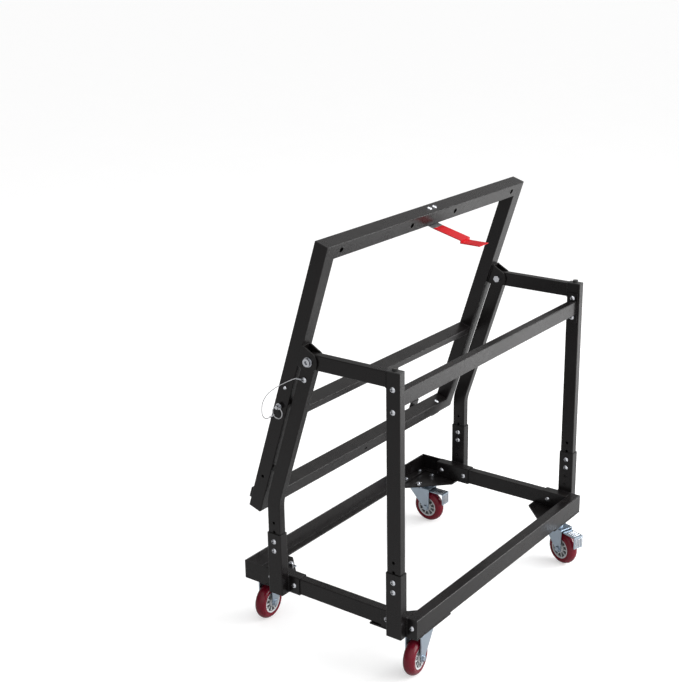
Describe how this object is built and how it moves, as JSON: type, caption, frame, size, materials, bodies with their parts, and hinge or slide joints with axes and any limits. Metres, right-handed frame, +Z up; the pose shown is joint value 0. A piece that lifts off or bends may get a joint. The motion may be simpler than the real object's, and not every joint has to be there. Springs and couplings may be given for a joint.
{
  "type": "drywall cart",
  "caption": "Castered sheet cart: an open base with telescoping legs carries a tubular frame that tilts from steep to flat, with a spring latch, a lock pin and hooked sheet rests.",
  "frame": {"origin": "on the floor, under the middle of the cart's bounding box in the rest pose", "axes": "+X along the long rails, +Y towards the side that carries the sheet, +Z up"},
  "size_m": [0.9617, 0.598, 1.0618],
  "materials": {
    "black_coat": "satin black powder coat",
    "zinc_bolts": "bright zinc plate",
    "zinc_plate": "bright zinc plate, slightly blue",
    "spring_steel": "plain spring steel",
    "red_latch": "glossy red coat",
    "red_tread": "glossy polyurethane",
    "grey_hub": "moulded nylon",
    "black_rubber": "matt rubber",
    "black_plug": "moulded plug",
    "wire": "stranded wire"
  },
  "bodies": {
    "chassis": {"base_front_rail": "black_coat", "base_front_return_left": "black_coat", "base_front_return_right": "black_coat", "base_rear_rail": "black_coat", "base_cross_tube_left": "black_coat", "base_cross_tube_right": "black_coat", "leg_socket_front_left": "black_coat", "leg_socket_front_right": "black_coat", "leg_socket_rear_left": "black_coat", "leg_socket_rear_right": "black_coat", "caster_gussets": "black_coat", "front_leg_left": "black_coat", "front_leg_right": "black_coat", "rear_leg_left": "black_coat", "rear_leg_right": "black_coat", "arm_left": "black_coat", "arm_right": "black_coat", "rear_crossbar": "black_coat", "threaded_inserts": "black_coat", "base_bolts": "zinc_bolts", "crossbar_bolts": "zinc_bolts", "caster_bolts": "zinc_bolts", "leg_end_plugs": "black_plug", "rubber_bumpers": "black_rubber", "lock_tab": "black_coat", "lanyard_screw": "zinc_bolts", "pivot_bushes": "spring_steel", "caster_top_plates": "zinc_plate"},
    "sheet_frame": {"frame_left_rail": "black_coat", "frame_right_rail": "black_coat", "frame_top_rail": "black_coat", "frame_mid_rail": "black_coat", "frame_bottom_rail": "black_coat", "pivot_bracket_left": "black_coat", "pivot_bracket_right": "black_coat", "pivot_bolts": "zinc_bolts", "panel_rest_left": "black_coat", "panel_rest_right": "black_coat", "frame_bolts": "zinc_bolts", "latch_leaf": "spring_steel", "latch_bolts": "zinc_bolts"},
    "spring_latch": {"latch_tongue": "red_latch"},
    "tilt_lock": {"lock_pin": "zinc_bolts", "pin_ring": "wire", "pin_lanyard": "wire"},
    "caster_front_left": {"caster_fork_front_left": "zinc_plate"},
    "wheel_front_left": {"wheel_hub_front_left": "grey_hub", "wheel_tread_front_left": "red_tread"},
    "caster_rear_left": {"caster_fork_rear_left": "zinc_plate"},
    "wheel_rear_left": {"wheel_hub_rear_left": "grey_hub", "wheel_tread_rear_left": "red_tread"},
    "caster_rear_right": {"caster_fork_rear_right": "zinc_plate"},
    "wheel_rear_right": {"wheel_hub_rear_right": "grey_hub", "wheel_tread_rear_right": "red_tread"},
    "brake_rear_right": {"brake_pedal_rear_right": "zinc_plate"},
    "caster_front_right": {"caster_fork_front_right": "zinc_plate"},
    "wheel_front_right": {"wheel_hub_front_right": "grey_hub", "wheel_tread_front_right": "red_tread"},
    "brake_front_right": {"brake_pedal_front_right": "zinc_plate"}
  },
  "joints": [
    {"name": "frame_tilt", "type": "hinge", "parent": "chassis", "child": "sheet_frame", "pos_m": [0.0021, 0.04268, 0.7715], "axis": [1, 0, 0], "range_deg": [0, 72]},
    {"name": "latch_flex", "type": "hinge", "parent": "sheet_frame", "child": "spring_latch", "pos_m": [0.0091, -0.01987, 1.00931], "axis": [1, 0, 0], "range_deg": [-6, 0]},
    {"name": "lock_pin_slide", "type": "slide", "parent": "sheet_frame", "child": "tilt_lock", "axis": [1, 0, 0], "range_m": [-0.045, 0.0052]},
    {"name": "swivel_front_left", "type": "hinge", "parent": "chassis", "child": "caster_front_left", "pos_m": [-0.3399, 0.25628, 0.108], "axis": [0, 0, 1], "continuous": true},
    {"name": "roll_front_left", "type": "hinge", "parent": "caster_front_left", "child": "wheel_front_left", "pos_m": [-0.37681, 0.25369, 0.0475], "axis": [0.0698, -0.9976, 0], "continuous": true},
    {"name": "swivel_rear_left", "type": "hinge", "parent": "chassis", "child": "caster_rear_left", "pos_m": [-0.3399, -0.20372, 0.108], "axis": [0, 0, 1], "continuous": true},
    {"name": "roll_rear_left", "type": "hinge", "parent": "caster_rear_left", "child": "wheel_rear_left", "pos_m": [-0.37654, -0.20887, 0.0475], "axis": [0.1392, -0.9903, 0], "continuous": true},
    {"name": "swivel_rear_right", "type": "hinge", "parent": "chassis", "child": "caster_rear_right", "pos_m": [0.3441, -0.20372, 0.108], "axis": [0, 0, 1], "continuous": true},
    {"name": "roll_rear_right", "type": "hinge", "parent": "caster_rear_right", "child": "wheel_rear_right", "pos_m": [0.33267, -0.23891, 0.0475], "axis": [0.9511, -0.309, 0], "continuous": true},
    {"name": "brake_rear_right", "type": "hinge", "parent": "caster_rear_right", "child": "brake_rear_right", "pos_m": [0.33607, -0.22845, 0.1005], "axis": [0.9511, -0.309, 0], "range_deg": [0, 9]},
    {"name": "swivel_front_right", "type": "hinge", "parent": "chassis", "child": "caster_front_right", "pos_m": [0.3441, 0.25628, 0.108], "axis": [0, 0, 1], "continuous": true},
    {"name": "roll_front_right", "type": "hinge", "parent": "caster_front_right", "child": "wheel_front_right", "pos_m": [0.3441, 0.21928, 0.0475], "axis": [1, 0, 0], "continuous": true},
    {"name": "brake_front_right", "type": "hinge", "parent": "caster_front_right", "child": "brake_front_right", "pos_m": [0.3441, 0.23028, 0.1005], "axis": [1, 0, 0], "range_deg": [0, 9]}
  ]
}
